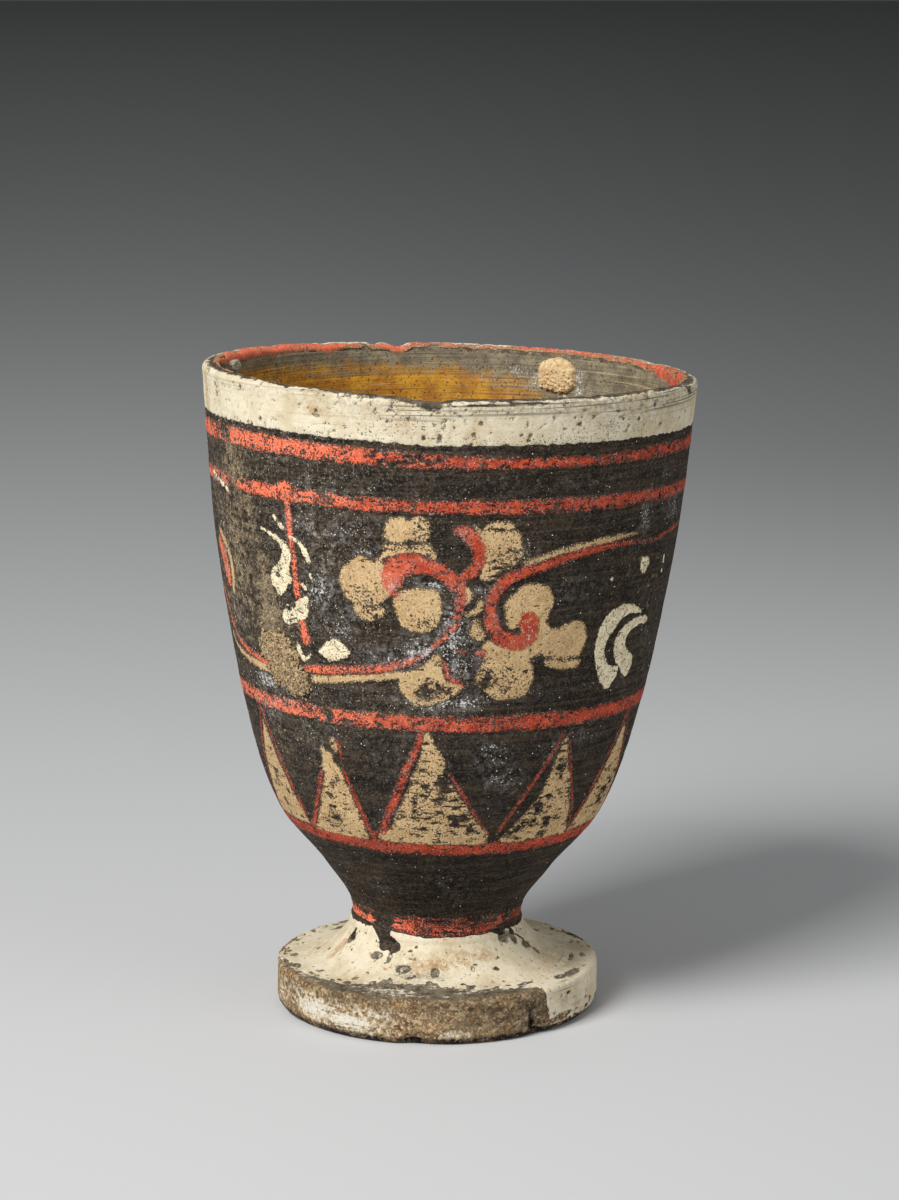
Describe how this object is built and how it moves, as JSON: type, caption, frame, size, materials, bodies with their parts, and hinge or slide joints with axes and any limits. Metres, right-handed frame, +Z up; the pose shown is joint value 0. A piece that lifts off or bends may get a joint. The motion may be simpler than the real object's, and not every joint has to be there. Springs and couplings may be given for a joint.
{
  "type": "stem cup",
  "caption": "Painted earthenware stem cup: a deep flaring bowl on a short stem and disc foot, with cream rim, black ground, red bands, cloud scroll and triangles.",
  "frame": {"origin": "centre of the foot's flat underside", "axes": "+Z up from the foot to the lip; the painted front faces -Y; the bowl leans slightly towards +X"},
  "size_m": [0.0978, 0.0978, 0.1301],
  "materials": {
    "clay": "unglazed grey-brown earthenware, rough, with ingrained soil",
    "luting_slip": "fired clay slip, matte",
    "black_coat": "black cold-painted ground, matte, with pale bloom",
    "cream_coat": "cream pigment coat, matte, speckled and flaked",
    "ochre_wash": "ochre wash over grey clay, matte",
    "red_paint": "red pigment, matte, worn",
    "buff_paint": "buff pigment, matte, cracked and worn",
    "white_paint": "white pigment, matte, thick",
    "burial_soil": "dry burial soil, granular"
  },
  "bodies": {
    "root": {"bowl": "clay", "stem": "clay", "foot": "clay", "bowl_luting_slip": "luting_slip", "foot_luting_slip": "luting_slip", "black_ground": "black_coat", "rim_white_band": "cream_coat", "foot_white_coat": "cream_coat", "stem_white_coat": "cream_coat", "inside_ochre_wash": "ochre_wash", "lip_red_line": "red_paint", "rim_red_band": "red_paint", "shoulder_red_band": "red_paint", "belly_red_band": "red_paint", "base_red_band": "red_paint", "stem_red_band": "red_paint", "triangles_buff": "buff_paint", "triangles_red_outline": "red_paint", "clouds_buff": "buff_paint", "clouds_red_scroll": "red_paint", "crescents_white": "white_paint", "strokes_white": "white_paint", "divider_red": "red_paint", "soil_lump": "burial_soil", "soil_crust": "burial_soil"}
  },
  "joints": []
}
